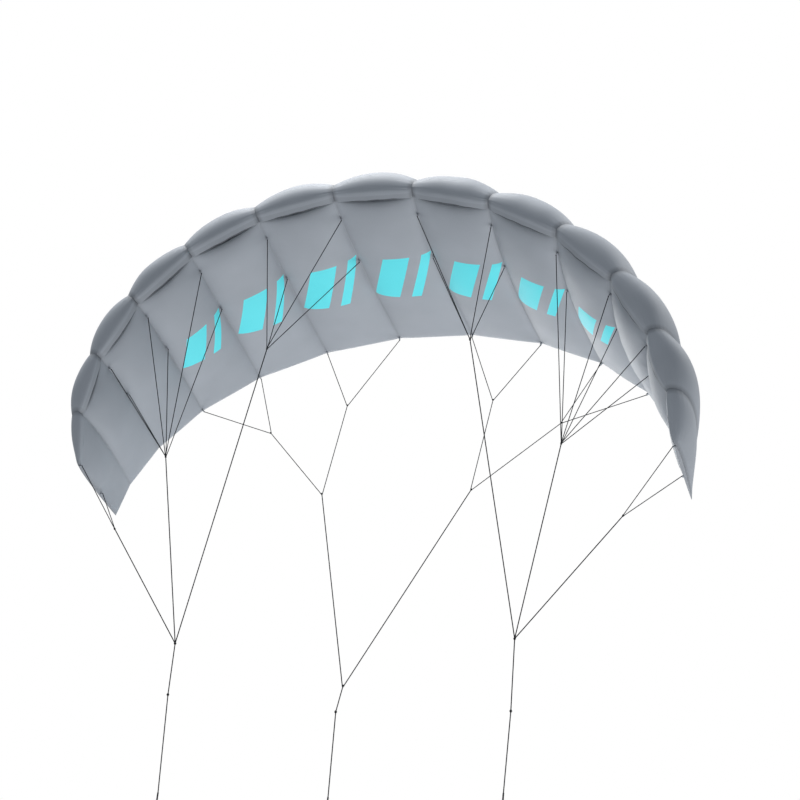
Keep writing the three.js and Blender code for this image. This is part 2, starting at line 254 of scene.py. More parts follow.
def sweptTube(path, radius, sides):
    # circles square to the path, its frame carried along without twist; ends drawn in almost to a point
    path = np.asarray(path, float)
    along = np.concatenate([[0], np.cumsum(np.linalg.norm(np.diff(path, axis=0), axis=1))])
    tangent = np.gradient(path, axis=0)
    tangent /= np.linalg.norm(tangent, axis=1, keepdims=True)
    side = np.cross(tangent[0], tube["across"])
    frames = []
    for direction in tangent:
        side = side - direction * side.dot(direction)
        side = side / np.linalg.norm(side)
        frames.append((side, np.cross(direction, side)))
    frames = np.array(frames)
    centres = np.concatenate([path[:1], path, path[-1:]])
    frames = np.concatenate([frames[:1], frames, frames[-1:]])
    along = np.concatenate([along[:1], along, along[-1:]])
    radii = np.full(len(centres), radius)
    radii[[0, -1]] = radius * tube["endShare"]
    angle = np.linspace(0, 2 * np.pi, sides + 1)
    cosine, sine = np.cos(angle)[:, None], np.sin(angle)[:, None]
    circle = cosine * frames[:, None, 0] + sine * frames[:, None, 1]
    points = centres[:, None] + radii[:, None, None] * circle
    uv = np.stack(np.broadcast_arrays(angle[None] * radius, along[:, None]), -1)
    return points.reshape(-1, 3), gridQuads(len(centres), sides + 1), uv.reshape(-1, 2)


def joinParts(parts):
    # stacks (points, quads, uv) parts into one mesh
    points, quads, uvs, start = [], [], [], 0
    for partPoints, partQuads, partUv in parts:
        points.append(partPoints)
        quads.append(partQuads + start)
        uvs.append(partUv)
        start += len(partPoints)
    return np.concatenate(points), np.concatenate(quads), np.concatenate(uvs)


# Shader node groups and materials


def newGroup(name, inputs, outputs):
    # inputs are (name, kind, value), outputs are (name, kind)
    group = bpy.data.node_groups.new(name, "ShaderNodeTree")
    for socketName, kind, value in inputs:
        socket = group.interface.new_socket(name=socketName, in_out="INPUT", socket_type="NodeSocket" + kind)
        if value is not None:
            socket.default_value = value
    for socketName, kind in outputs:
        group.interface.new_socket(name=socketName, in_out="OUTPUT", socket_type="NodeSocket" + kind)
    return group, group.nodes.new("NodeGroupInput").outputs, group.nodes.new("NodeGroupOutput").inputs


def connect(tree, source, target):
    # a number or colour is written to the socket, anything else is linked to it
    if isinstance(source, (int, float, tuple)):
        target.default_value = source
    else:
        tree.links.new(source, target)


def maths(tree, operation, *values):
    node = tree.nodes.new("ShaderNodeMath")
    node.operation = operation
    for value, socket in zip(values, node.inputs):
        connect(tree, value, socket)
    return node.outputs[0]


def mixColour(tree, factor, first, second):
    # sockets 6 and 7 and output 2 are the Mix node's colours
    node = tree.nodes.new("ShaderNodeMix")
    node.data_type = "RGBA"
    connect(tree, factor, node.inputs[0])
    connect(tree, first, node.inputs[6])
    connect(tree, second, node.inputs[7])
    return node.outputs[2]


def scaleValue(tree, colour, value):
    # the colour with its brightness multiplied
    node = tree.nodes.new("ShaderNodeHueSaturation")
    connect(tree, value, node.inputs["Value"])
    connect(tree, colour, node.inputs["Color"])
    return node.outputs[0]


def splitXYZ(tree, vector):
    node = tree.nodes.new("ShaderNodeSeparateXYZ")
    tree.links.new(vector, node.inputs[0])
    return node.outputs


def uvOf(tree, layer):
    node = tree.nodes.new("ShaderNodeUVMap")
    node.uv_map = layer
    return node.outputs[0]


def useGroup(tree, group, **values):
    # places a node group with its own values
    node = tree.nodes.new("ShaderNodeGroup")
    node.node_tree = group
    for name, value in values.items():
        connect(tree, value, node.inputs[name])
    return node.outputs


def colourTimes(colour, factor):
    # red, green and blue x factor, up to 1
    return tuple(min(part * factor, 1.0) for part in colour[:3]) + (1.0,)


def stripeMask(tree, coordinate, pitch, width):
    # 1 where the coordinate lies within half the width of a multiple of the pitch
    wrapped = maths(tree, "PINGPONG", coordinate, maths(tree, "MULTIPLY", pitch, 0.5))
    return maths(tree, "LESS_THAN", wrapped, maths(tree, "MULTIPLY", width, 0.5))


effects = {
    "gridPitch": 0.005,  # metres, as the thread, stitch and strand
    "gridThread": 0.0006,
    "weaveWaves": 9000.0,  # radians for each metre
    "weaveHeight": 0.3,  # where a thick thread is 1 high
    "stitchLength": 0.0035,
    "stitchWidth": 0.0007,
    "stitchDash": 0.78,  # share of a stitch's length that shows
    "toneDetail": 4.0,
    "strand": 0.0011,
}


def buildRipstop():
    # thick threads in a square grid over a plain weave, both from metric UVs
    group, inputs, outputs = newGroup(
        "ripstopWeave",
        [("Vector", "Vector", None), ("Grid", "Float", effects["gridPitch"]),
         ("Thread", "Float", effects["gridThread"])],
        [("Grid", "Float"), ("Height", "Float")],
    )
    u, v, _ = splitXYZ(group, inputs["Vector"])
    across = stripeMask(group, u, inputs["Grid"], inputs["Thread"])
    along = stripeMask(group, v, inputs["Grid"], inputs["Thread"])
    grid = maths(group, "MAXIMUM", across, along)
    turns = [maths(group, "MULTIPLY", part, effects["weaveWaves"]) for part in (u, v)]
    weave = maths(group, "MULTIPLY", *(maths(group, "SINE", turn) for turn in turns))
    weave = maths(group, "MULTIPLY", weave, effects["weaveHeight"])
    connect(group, grid, outputs["Grid"])
    connect(group, maths(group, "ADD", grid, weave), outputs["Height"])
    return group


def buildStitchRow():
    # dashes of thread at one distance from an edge
    group, inputs, outputs = newGroup(
        "stitchRow",
        [("Distance", "Float", None), ("Along", "Float", None), ("Offset", "Float", None),
         ("Length", "Float", effects["stitchLength"]), ("Width", "Float", effects["stitchWidth"])],
        [("Mask", "Float")],
    )
    near = maths(group, "ABSOLUTE", maths(group, "SUBTRACT", inputs["Distance"], inputs["Offset"]))
    row = maths(group, "LESS_THAN", near, maths(group, "MULTIPLY", inputs["Width"], 0.5))
    step = maths(group, "FRACT", maths(group, "DIVIDE", inputs["Along"], inputs["Length"]))
    dash = maths(group, "LESS_THAN", step, effects["stitchDash"])
    connect(group, maths(group, "MULTIPLY", row, dash), outputs["Mask"])
    return group


def buildSoftTone():
    # slow unevenness of the cloth, from Object coordinates
    group, inputs, outputs = newGroup("softTone", [("Scale", "Float", None)], [("Tone", "Float")])
    coordinates = group.nodes.new("ShaderNodeTexCoord").outputs["Object"]
    noise = group.nodes.new("ShaderNodeTexNoise")
    noise.inputs["Detail"].default_value = effects["toneDetail"]
    connect(group, coordinates, noise.inputs["Vector"])
    connect(group, inputs["Scale"], noise.inputs["Scale"])
    connect(group, noise.outputs[0], outputs["Tone"])
    return group


def buildBraid():
    # two families of diagonal strands over a cord's metric UVs
    group, inputs, outputs = newGroup(
        "cordBraid",
        [("Vector", "Vector", None), ("Strand", "Float", effects["strand"])],
        [("Height", "Float")],
    )
    u, v, _ = splitXYZ(group, inputs["Vector"])
    scale = maths(group, "DIVIDE", 2 * math.pi, inputs["Strand"])
    left = maths(group, "SINE", maths(group, "MULTIPLY", maths(group, "ADD", v, u), scale))
    right = maths(group, "SINE", maths(group, "MULTIPLY", maths(group, "SUBTRACT", v, u), scale))
    connect(group, maths(group, "MAXIMUM", left, right), outputs["Height"])
    return group


ripstop = buildRipstop()
stitchRow = buildStitchRow()
softTone = buildSoftTone()
cordBraid = buildBraid()


def newMaterial(name, roughness, sheen, specular):
    material = bpy.data.materials.new(name)
    material.use_nodes = True
    tree = material.node_tree
    shader = next(node for node in tree.nodes if node.type == "BSDF_PRINCIPLED")
    shader.inputs["Roughness"].default_value = roughness
    shader.inputs["Sheen Weight"].default_value = sheen
    shader.inputs["Specular IOR Level"].default_value = specular
    return material, tree, shader


def addBump(tree, shader, height, strength, distance):
    node = tree.nodes.new("ShaderNodeBump")
    node.inputs["Strength"].default_value = strength
    node.inputs["Distance"].default_value = distance
    connect(tree, height, node.inputs["Height"])
    tree.links.new(node.outputs[0], shader.inputs["Normal"])


clothLook = {
    "skin": (0.372, 0.400, 0.440, 1.0),
    "rib": (0.30, 0.32, 0.35, 1.0),
    "toneSpread": 0.10,
    "toneScale": 7.0,
    "gridDarker": 0.94,
    "thread": (0.30, 0.32, 0.355, 1.0),
    "threadHeight": 3.0,
    "finish": (0.62, 0.15, 0.35),  # roughness, sheen and specular level
    "bump": (0.35, 0.00012),  # strength and distance
    "hem": 0.015,  # width of the lip's hem, painted darker as shade for the light that its doubled cloth keeps out
    "hemPaintedShade": 0.88,
    "paintedLipShadow": 0.0030,  # width of the painted shadow of the slit, a dark band on the lip's edge which narrows to nothing towards the seams
    "paintedLipShadowColour": (0.085, 0.095, 0.11, 1.0),
    "paintedLipShadowStart": 0.010,
    "paintedLipShadowFull": 0.060,
    "upperSeam": (0.62, 0.016),  # painted shade at a seam, for the shadow in its valley and the light that its layers keep out, and its reach
    "lowerSeam": (0.87, 0.009),
    "sideStitches": (0.004, 0.010),
    "endStitches": (0.004, 0.011),
}

# Leaning bars on the lower skin, a broad and a narrow one to a cell, in a band that narrows to its ends

design = {
    "colour": (0.12, 0.88, 0.96, 1.0),
    "middle": 0.475,  # of the chord
    "halfLength": 0.135,
    "reach": 0.8313,  # from the middle of the canopy, in metres
    "narrowing": 0.30,
    "lean": 1.3,  # cells sideways for each chord
    "bars": ((0.36, 0.34), (0.75, 0.13)),  # middle and width, in cells
}


def designMask(tree, metric, cellMap):
    # band: |share - middle| < half length x (1 - narrowing x (span / reach)^2); bars: places in the cell
    u, _, _ = splitXYZ(tree, metric)
    across, share, _ = splitXYZ(tree, cellMap)
    span = maths(tree, "DIVIDE", maths(tree, "ABSOLUTE", u), design["reach"])
    lengthways = maths(tree, "SUBTRACT", share, design["middle"])
    lost = maths(tree, "MULTIPLY", maths(tree, "POWER", span, 2.0), design["narrowing"])
    halfLength = maths(tree, "MULTIPLY", maths(tree, "SUBTRACT", 1.0, lost), design["halfLength"])
    band = maths(tree, "LESS_THAN", maths(tree, "ABSOLUTE", lengthways), halfLength)
    band = maths(tree, "MULTIPLY", band, maths(tree, "LESS_THAN", span, 1.0))
    step = maths(tree, "ADD", across, maths(tree, "MULTIPLY", lengthways, design["lean"]))
    bars = 0.0
    for middle, width in design["bars"]:
        away = maths(tree, "ABSOLUTE", maths(tree, "SUBTRACT", step, middle))
        bars = maths(tree, "MAXIMUM", bars, maths(tree, "LESS_THAN", away, width / 2))
    return maths(tree, "MULTIPLY", band, bars)


def shadeLip(tree, shade, along, side):
    # painted shade where along < hem; painted shadow of the slit where along < its width x ramp of the
    # distance from the seam
    hem = scaleValue(tree, shade, clothLook["hemPaintedShade"])
    shade = mixColour(tree, maths(tree, "LESS_THAN", along, clothLook["hem"]), shade, hem)
    start, full = clothLook["paintedLipShadowStart"], clothLook["paintedLipShadowFull"]
    ramp = maths(tree, "DIVIDE", maths(tree, "SUBTRACT", side, start), full - start)
    width = maths(tree, "MULTIPLY", maths(tree, "MINIMUM", ramp, 1.0), clothLook["paintedLipShadow"])
    return mixColour(tree, maths(tree, "LESS_THAN", along, width), shade, clothLook["paintedLipShadowColour"])


def shadeSeam(tree, shade, side, atSeam, reach):
    # painted shade in a seam's valley: value = atSeam + (1 - atSeam) x distance from the seam / reach, up to
    # 1
    ramp = maths(tree, "MINIMUM", maths(tree, "DIVIDE", side, reach), 1.0)
    return scaleValue(tree, shade, maths(tree, "MULTIPLY_ADD", ramp, 1 - atSeam, atSeam))


def stitchMask(tree, side, end, u, v):
    # rows along both seams and along the trailing edge
    rows = [(side, v, offset) for offset in clothLook["sideStitches"]]
    rows += [(end, u, offset) for offset in clothLook["endStitches"]]
    stitches = 0.0
    for distance, along, offset in rows:
        row = useGroup(tree, stitchRow, Distance=distance, Along=along, Offset=offset)["Mask"]
        stitches = maths(tree, "MAXIMUM", stitches, row)
    return stitches


def clothMaterial(name, colour, seam=None, withDesign=False, withLip=False):
    # uneven colour, then design, the lip's painted shade and shadow, painted seam shade, thread grid and
    # stitches, each over the one before
    material, tree, shader = newMaterial(name, *clothLook["finish"])
    metric = uvOf(tree, "UVMap")
    u, v, _ = splitXYZ(tree, metric)
    side, end, _ = splitXYZ(tree, uvOf(tree, "EdgeMap"))
    weave = useGroup(tree, ripstop, Vector=metric)
    tone = useGroup(tree, softTone, Scale=clothLook["toneScale"])["Tone"]
    spread = clothLook["toneSpread"]
    shade = mixColour(tree, tone, colourTimes(colour, 1 - spread), colourTimes(colour, 1 + spread))
    if withDesign:
        shade = mixColour(tree, designMask(tree, metric, uvOf(tree, "CellMap")), shade, design["colour"])
    if withLip:
        # painted shade on the lip's hem and painted shadow of the slit
        shade = shadeLip(tree, shade, v, side)
    # painted shade beside the seams
    if seam:
        shade = shadeSeam(tree, shade, side, *seam)
    shade = mixColour(tree, weave["Grid"], shade, scaleValue(tree, shade, clothLook["gridDarker"]))
    stitches = stitchMask(tree, side, end, u, v)
    connect(tree, mixColour(tree, stitches, shade, clothLook["thread"]), shader.inputs["Base Color"])
    raised = maths(tree, "MULTIPLY", stitches, clothLook["threadHeight"])
    addBump(tree, shader, maths(tree, "ADD", weave["Height"], raised), *clothLook["bump"])
    return material


cordLook = {
    "sheath": {"colour": (0.012, 0.014, 0.017, 1.0), "roughness": 0.7},
    "sleeve": {"colour": (0.03, 0.032, 0.036, 1.0), "roughness": 0.8},
    "tape": {"colour": (0.40, 0.43, 0.47, 1.0), "roughness": 0.8},
    "gauze": {"colour": (0.13, 0.14, 0.16, 1.0), "roughness": 0.9},
    "sheen": 0.1,
    "specular": 0.3,
    "darker": 0.6,  # times the colour
    "lighter": 1.5,
    "toneScale": 40.0,
    "toneWeight": 0.6,
    "braidWeight": 0.3,
    "bump": (0.6, 0.0002),  # strength and distance
}


def cordMaterial(name, finish):
    # from darker to lighter by toneWeight x tone + braidWeight x braid
    material, tree, shader = newMaterial(name, finish["roughness"], cordLook["sheen"], cordLook["specular"])
    braid = useGroup(tree, cordBraid, Vector=uvOf(tree, "UVMap"))["Height"]
    tone = useGroup(tree, softTone, Scale=cordLook["toneScale"])["Tone"]
    tone = maths(tree, "MULTIPLY", tone, cordLook["toneWeight"])
    weight = maths(tree, "ADD", tone, maths(tree, "MULTIPLY", braid, cordLook["braidWeight"]))
    darker, lighter = (colourTimes(finish["colour"], cordLook[key]) for key in ("darker", "lighter"))
    connect(tree, mixColour(tree, weight, darker, lighter), shader.inputs["Base Color"])
    addBump(tree, shader, braid, *cordLook["bump"])
    return material


materials = {
    "upper": clothMaterial("upperCloth", clothLook["skin"], clothLook["upperSeam"], withLip=True),
    "tip": clothMaterial("tipCloth", clothLook["skin"], clothLook["upperSeam"]),
    "lower": clothMaterial("lowerCloth", clothLook["skin"], clothLook["lowerSeam"], withDesign=True),
    "rib": clothMaterial("ribCloth", clothLook["rib"]),
    "cord": cordMaterial("bridleSheath", cordLook["sheath"]),
    "sleeve": cordMaterial("lineSleeve", cordLook["sleeve"]),
    "tape": cordMaterial("tabTape", cordLook["tape"]),
    "gauze": cordMaterial("intakeGauze", cordLook["gauze"]),
}
print("materials made:", len(materials))

# Cords: bridle and flying lines, taut and straight between knots

bridle = {
    "outerKnot": (0.604, -0.038, 1.115),  # on the right; the left side mirrors it
    "innerKnot": (0.315, -0.078, 1.454),
    "tipKnot": (0.776, 0.069, 0.931),
    "powerKnot": (0.502, 0.0, 0.519),
    "brakeOuterKnot": (0.479, 0.508, 1.489),
    "brakeInnerKnot": (0.242, 0.543, 1.601),
    "brakeLowerKnot": (0.239, 0.381, 1.194),
    "brakeCentreKnot": (0.0, 0.057, 0.405),
    "outerRibs": (2, 3, 4),  # counted from the tip
    "innerRibs": (5, 6),
    "brakeOuterRibs": (3, 4),
    "brakeInnerRibs": (5, 6),
    "bridleDiameter": 0.0026,
    "legDiameter": 0.0032,
    "turnRadius": 0.0020,
    "turnPoints": 9,
    "sides": 10,
    "ringSpacing": 0.030,
}
flyingLines = {
    "left": {"top": (-0.501, 0.0, 0.359), "foot": (-0.488, 0.0), "node": "flying_line_left"},
    "right": {"top": (0.507, 0.0, 0.301), "foot": (0.504, 0.0), "node": "flying_line_right"},
    "brake": {"top": (0.0, 0.016, 0.309), "foot": (0.0, 0.033), "node": "flying_line_brake"},
}
knotRadius = {
    "tie": 0.0017,
    "outerKnot": 0.0031,
    "innerKnot": 0.0031,
    "tipKnot": 0.0031,
    "powerKnot": 0.0036,
    "brakeOuterKnot": 0.0028,
    "brakeInnerKnot": 0.0028,
    "brakeLowerKnot": 0.0030,
    "brakeCentreKnot": 0.0034,
    "lineTop": 0.0036,
}
knotPlaces = []  # (place, radius, direction of the knot's length)
cordNames = []


def spacedPath(corners):
    # points along straight pieces, no further apart than the ring spacing
    corners = np.asarray(corners, float)
    pieces = []
    for start, stop in zip(corners[:-1], corners[1:]):
        count = max(1, int(np.ceil(np.linalg.norm(stop - start) / bridle["ringSpacing"])))
        pieces.append(start + (stop - start) * np.linspace(0, 1, count, endpoint=False)[:, None])
    return np.concatenate([*pieces, corners[-1:]])


def knottedPath(first, apex, last):
    # two straight legs and the half turn of the turn radius that joins them round the knot
    first, apex, last = (np.asarray(point, float) for point in (first, apex, last))
    legOne = (first - apex) / np.linalg.norm(first - apex)
    legTwo = (last - apex) / np.linalg.norm(last - apex)
    back = (legOne + legTwo) / np.linalg.norm(legOne + legTwo)
    side = legOne - legTwo
    side /= np.linalg.norm(side)
    angle = np.linspace(0, np.pi, bridle["turnPoints"])[:, None]
    turn = apex + bridle["turnRadius"] * (np.cos(angle) * side - np.sin(angle) * back)
    return np.concatenate([spacedPath([first, turn[0]])[:-1], turn, spacedPath([turn[-1], last])[1:]])


def addCord(name, path, diameter, node):
    points, quads, uv = sweptTube(path, diameter / 2, bridle["sides"])
    piece = meshFromArrays(name, points, quads, {"UVMap": uv}, materials["cord"])
    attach(piece, "root")
    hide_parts(node)
    cordNames.append(name)


def laySide(sideName, side):
    # the bridle of one side: power fans, tip line, legs and pigtail, then the brake's lines

    def at(key):
        # a knot's place, mirrored on the left
        return np.array(bridle[key]) * (side, 1, 1)

    def tie(fromTip, tab):
        # the tie on a rib of this side
        return tiePoint(fromTip if side < 0 else ribCount - 1 - fromTip, tab)

    def addLoop(name, ends, knotKey, node):
        # one cord from tie to tie round a knot
        addCord(name, knottedPath(ends[0], at(knotKey), ends[1]), bridle["bridleDiameter"], node)
        knotPlaces.extend((end, knotRadius["tie"], at(knotKey) - end) for end in ends)

    def addKnot(key, nextKey):
        # a knot that lies along the cord from the next one
        knotPlaces.append((at(key), knotRadius[key], at(key) - at(nextKey)))

    for place in ("outer", "inner"):
        knotKey = f"{place}Knot"
        for fromTip in bridle[f"{place}Ribs"]:
            ends = [tie(fromTip, tab) for tab in ("front", "rear")]
            addLoop(f"powerLine_{sideName}_{fromTip}", ends, knotKey, f"power_fan_{place}_{sideName}")
        addKnot(knotKey, "powerKnot")
    ends = [tie(0, tab) for tab in ("front", "rear")]
    addLoop(f"tipLine_{sideName}", ends, "tipKnot", f"tip_line_{sideName}")
    addKnot("tipKnot", "powerKnot")
    node = f"power_legs_{sideName}"
    for place in ("outer", "inner", "tip"):
        path = spacedPath([at(f"{place}Knot"), at("powerKnot")])
        addCord(f"powerLeg_{place}_{sideName}", path, bridle["legDiameter"], node)
    path = spacedPath([at("powerKnot"), flyingLines[sideName]["top"]])
    addCord(f"powerPigtail_{sideName}", path, bridle["legDiameter"], node)
    knotPlaces.append((at("powerKnot"), knotRadius["powerKnot"], path[-1] - path[0]))
    for place in ("Outer", "Inner"):
        ends = [tie(fromTip, "brake") for fromTip in bridle[f"brake{place}Ribs"]]
        knotKey, label = f"brake{place}Knot", f"{place.lower()}_{sideName}"
        addLoop(f"brakeLine_{label}", ends, knotKey, f"brake_line_{label}")
        addKnot(knotKey, "brakeLowerKnot")
    path = knottedPath(at("brakeOuterKnot"), at("brakeLowerKnot"), at("brakeInnerKnot"))
    addCord(f"brakeLine_middle_{sideName}", path, bridle["bridleDiameter"], f"brake_line_middle_{sideName}")
    addKnot("brakeLowerKnot", "brakeCentreKnot")


laySide("left", -1)
laySide("right", 1)

leftLower, rightLower = (np.array(bridle["brakeLowerKnot"]) * (side, 1, 1) for side in (-1, 1))
brakeCentre = np.array(bridle["brakeCentreKnot"])
addCord("brakeLegs", knottedPath(leftLower, brakeCentre, rightLower), bridle["legDiameter"], "brake_legs")
pigtail = spacedPath([brakeCentre, flyingLines["brake"]["top"]])
addCord("brakePigtail", pigtail, bridle["legDiameter"], "brake_legs")
knotPlaces.append((brakeCentre, knotRadius["brakeCentreKnot"], pigtail[-1] - pigtail[0]))

lineEnd = {
    "diameter": 0.0032,
    "sleeveTop": 0.062,
    "sleeveFoot": 0.0256,
    "sleeveRadius": 0.0024,
    "sleeveRings": 7,
    "sleeveSides": 14,
    "straightFoot": 0.036,  # where the cord starts to open into its loop
    # half of the loop, in millimetres
    "loop": ((0.9, 27.0), (3.4, 19.0), (5.7, 11.0), (5.2, 5.6), (2.9, 2.15), (0.0, 1.6)),
    "loopPoints": 45,
}


def smoothLoop(points, count):
    # Catmull-Rom curve through the points
    points = np.asarray(points, float)
    padded = np.concatenate([2 * points[:1] - points[1:2], points, 2 * points[-1:] - points[-2:-1]])
    place = np.linspace(0, len(points) - 1, count)
    first = np.minimum(place.astype(int), len(points) - 2)
    step = (place - first)[:, None]
    before, start, stop, after = (padded[first + i] for i in range(4))
    square = (2 * before - 5 * start + 4 * stop - after) * step ** 2
    cube = (3 * start - before - 3 * stop + after) * step ** 3
    return 0.5 * (2 * start + (stop - before) * step + square + cube)


def endLoop(footX, footY):
    # down one side of the loop, then the same points mirrored and taken upwards
    half = np.array(lineEnd["loop"]) / 1000
    rising = half[::-1][1:] * (-1, 1)
    loop = np.concatenate([half, rising])
    return smoothLoop([(footX + x, footY, z) for x, z in loop], lineEnd["loopPoints"])


def addSleeve(name, path, node):
    # a wider tube over the line's foot, where the cord is sewn into its loop
    points, quads, uv = sweptTube(path, lineEnd["sleeveRadius"], lineEnd["sleeveSides"])
    sleeve = meshFromArrays(name, points, quads, {"UVMap": uv}, materials["sleeve"])
    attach(sleeve, "root")
    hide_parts(node)


for sideName, line in flyingLines.items():
    footX, footY = line["foot"]
    corners = [line["top"], (footX, footY, lineEnd["sleeveTop"]), (footX, footY, lineEnd["straightFoot"])]
    path = np.concatenate([spacedPath(corners), endLoop(footX, footY)])
    addCord(f"flyingLine_{sideName}", path, lineEnd["diameter"], line["node"])
    heights = np.linspace(lineEnd["sleeveTop"], lineEnd["sleeveFoot"], lineEnd["sleeveRings"])
    addSleeve(f"lineSleeve_{sideName}", [(footX, footY, z) for z in heights], line["node"])
    knotPlaces.append((np.array(line["top"]), knotRadius["lineTop"], np.array([0.0, 0.0, -1.0])))
print("cords laid:", len(cordNames))

# Knots: an egg with turns of cord round it

bead = {
    "ridge": 0.16,  # height of a turn of cord, where the radius is 1
    "turns": 2,
    "twist": 5,
    "stretch": 1.45,  # half length, where the radius is 1
    "uvStretch": 1.4,
    "poleGap": 0.02,  # radians
    "rings": 14,
    "sides": 18,
    "across": (0.27, 0.53, 0.80),  # a direction that no knot has
}


def knotBead(centre, radius, direction):
    # radius x (1 + ridge x cos(turns x angle + twist x latitude)), longer along the line
    direction = direction / np.linalg.norm(direction)
    side = np.cross(direction, bead["across"])
    side /= np.linalg.norm(side)
    other = np.cross(direction, side)
    latitude = np.linspace(bead["poleGap"], np.pi - bead["poleGap"], bead["rings"])[:, None]
    angle = np.linspace(0, 2 * np.pi, bead["sides"] + 1)[None]
    bulge = radius * (1 + bead["ridge"] * np.cos(bead["turns"] * angle + bead["twist"] * latitude))
    ring = (bulge * np.sin(latitude))[..., None]
    points = centre + ring * (np.cos(angle)[..., None] * side + np.sin(angle)[..., None] * other)
    points = points + (bead["stretch"] * radius * np.cos(latitude))[..., None] * direction
    uv = np.stack(np.broadcast_arrays(angle * radius, latitude * radius * bead["uvStretch"]), -1)
    return points.reshape(-1, 3), gridQuads(bead["rings"], bead["sides"] + 1, flip=True), uv.reshape(-1, 2)


points, quads, uv = joinParts([knotBead(*place) for place in knotPlaces])
knots = meshFromArrays("bridleKnots", points, quads, {"UVMap": uv}, materials["cord"])
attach(knots, "root")
print("knots tied:", len(knotPlaces))

# Canopy cloth: t runs along a rib from -1 at the belly's tail over 0 at the nose to 1, and v across a cell

cloth = {
    "thickness": 0.0005,
    "edge": 0.00012,  # from a rib's middle plane to the cloth's edge
    "upperBillow": 0.21,
    "upperFullness": {0: 0.35, 1: 0.75, 2: 0.93, 3: 0.96, 12: 0.50},  # of a cell, 1 for the others
    "billowRise": 1.1,
    "lowerBillow": 0.066,
    "lowerFullness": {0: 0.6, 12: 0.4},
    "lowerBillowPower": 0.6,
    "leastBillow": 0.002,
    "upperSeamReach": 0.0022,  # distance over which the valley at a seam is rounded
    "lowerSeamReach": 0.002,
    "seamDip": 0.0145,  # how far the lower skin is drawn in at a seam, and over what distance
    "dipReach": 0.021,
    "dipPower": 0.5,  # how soon the dip sets in behind the nose
    "upperRows": 150,
    "lowerRows": 96,
    "columns": 42,
}
intake = {
    "share": 0.037,  # of the chord, at the ribs; in the middle of a cell the lip and the lower skin part
    "lipShare": 0.0275,
    "frontShare": 0.042,
    "width": 0.008,
    "leastGap": 0.0003,
    "openness": {0: 0.0, 1: 0.5, 2: 0.6, 3: 0.8, 10: 0.9, 11: 0.5, 12: 0.0},  # of a cell, 1 for the others
    "closedBillow": 0.122,  # of a closed cell where its skins meet, and how it runs back
    "closedRise": 0.9,
    "closedFall": 1.5,
    "closedPower": 2,
    "fullness": 1.2,
    "chinSlope": 0.56,  # slope by which the cloth under the nose hangs forward, and its rounded start
    "chinSoft": 0.006,
    "chinWidth": 0.6,
    "tuck": 0.005,  # how far the lower skin's front edge turns in, and over what distance
    "tuckReach": 0.013,
    "tuckWidth": 0.7,
}
folds = {
    "phases": 6,  # range of the random phases, in radians
    "pucker": 0.00025,  # small waves along a seam, which start a little beside it
    "puckerLength": 0.026,
    "puckerStart": 0.004,
    "puckerReach": 0.014,
    "lipWave": 0.0010,  # waves across a cell at its slit
    "lipWaveLength": 0.055,
    "lipWaveReach": 0.016,
    "tabFold": 0.0010,  # rays from a tab
    "tabRays": 3,
    "tabStart": 0.012,
    "tabReach": 0.085,
    "noseCrease": 0.0004,  # short waves over the nose beside a seam
    "creaseLength": 0.024,
    "creaseStart": 0.008,
    "creaseReach": 0.030,
    "creaseSpan": 0.07,
    "shoulder": 0.0022,  # how far the nose swells beside a seam, where, and over what length
    "shoulderReach": 0.014,
    "shoulderLength": 0.060,
    "slow": 0.0014,  # long waves: height where slowShare of them meet, how many, shortest and longest
    "slowShare": 3,
    "slowCount": 5,
    "slowShort": 0.12,
    "slowLong": 0.30,
    "upperTail": 0.2,  # run of t, and share of the panel, in which the long waves fade out to the tail
    "lowerTail": 0.1,
}
rng = np.random.default_rng(498)


def openness(cell):
    # 0 where a cell's skins meet at the nose, 1 where they part by the slit's whole width
    return intake["openness"].get(cell, 1.0)


def upperFullness(cell):
    # how far the wind fills a cell, from 0 to 1
    return cloth["upperFullness"].get(cell, 1.0)


def cellChord(cell):
    # mean chord of the cell's two ribs
    return (ribs["chord"][cell] + ribs["chord"][cell + 1]) / 2


def slitHalf(cell, v):
    # half the slit's width across a cell, widest in the middle; the two tip cells have none
    return openness(cell) * intake["width"] / 2 * np.sin(np.pi * v) ** intake["fullness"]


def edgeShare(cell, v, middleShare):
    # share of the chord of a slit's edge, which swings from the seams' share to middleShare
    swing = openness(cell) * np.sin(np.pi * v) ** intake["fullness"]
    return intake["share"] + (middleShare - intake["share"]) * swing


def crossColumns():
    # columns that crowd towards the seams: (1 - cos(pi x step)) / 2
    return (0.5 - 0.5 * np.cos(np.linspace(0, np.pi, cloth["columns"])))[None]


def profileNormal(t, rib):
    # square to the short line between two near points of the profile, in the rib's plane
    step = 1e-3
    y0, z0 = profilePoint(t - step, rib)
    y1, z1 = profilePoint(t + step, rib)
    up, _ = ribAxes(rib)
    normal = (z0 - z1)[..., None] * np.array([0.0, 1.0, 0.0]) + (y1 - y0)[..., None] * up
    return normal / np.linalg.norm(normal, axis=-1, keepdims=True)


def clothPoint(cell, t, v, billow):
    # circular arc from rib to rib that rises by billow x width; v runs from 0 to 1 across the cell
    left = inRib(cell, *profilePoint(t, cell), cloth["edge"])
    right = inRib(cell + 1, *profilePoint(t, cell + 1), -cloth["edge"])
    width = np.linalg.norm(right - left, axis=-1, keepdims=True)
    along = (right - left) / width
    out = profileNormal(t, cell) + profileNormal(t, cell + 1)
    out = out - along * (out * along).sum(-1, keepdims=True)
    out /= np.linalg.norm(out, axis=-1, keepdims=True)
    half = (2 * np.arctan(2 * np.maximum(billow, cloth["leastBillow"])))[..., None]
    radius = width / 2 / np.sin(half)
    turn = (2 * v[..., None] - 1) * half
    return (left + right) / 2 + along * radius * np.sin(turn) + out * radius * (np.cos(turn) - np.cos(half))


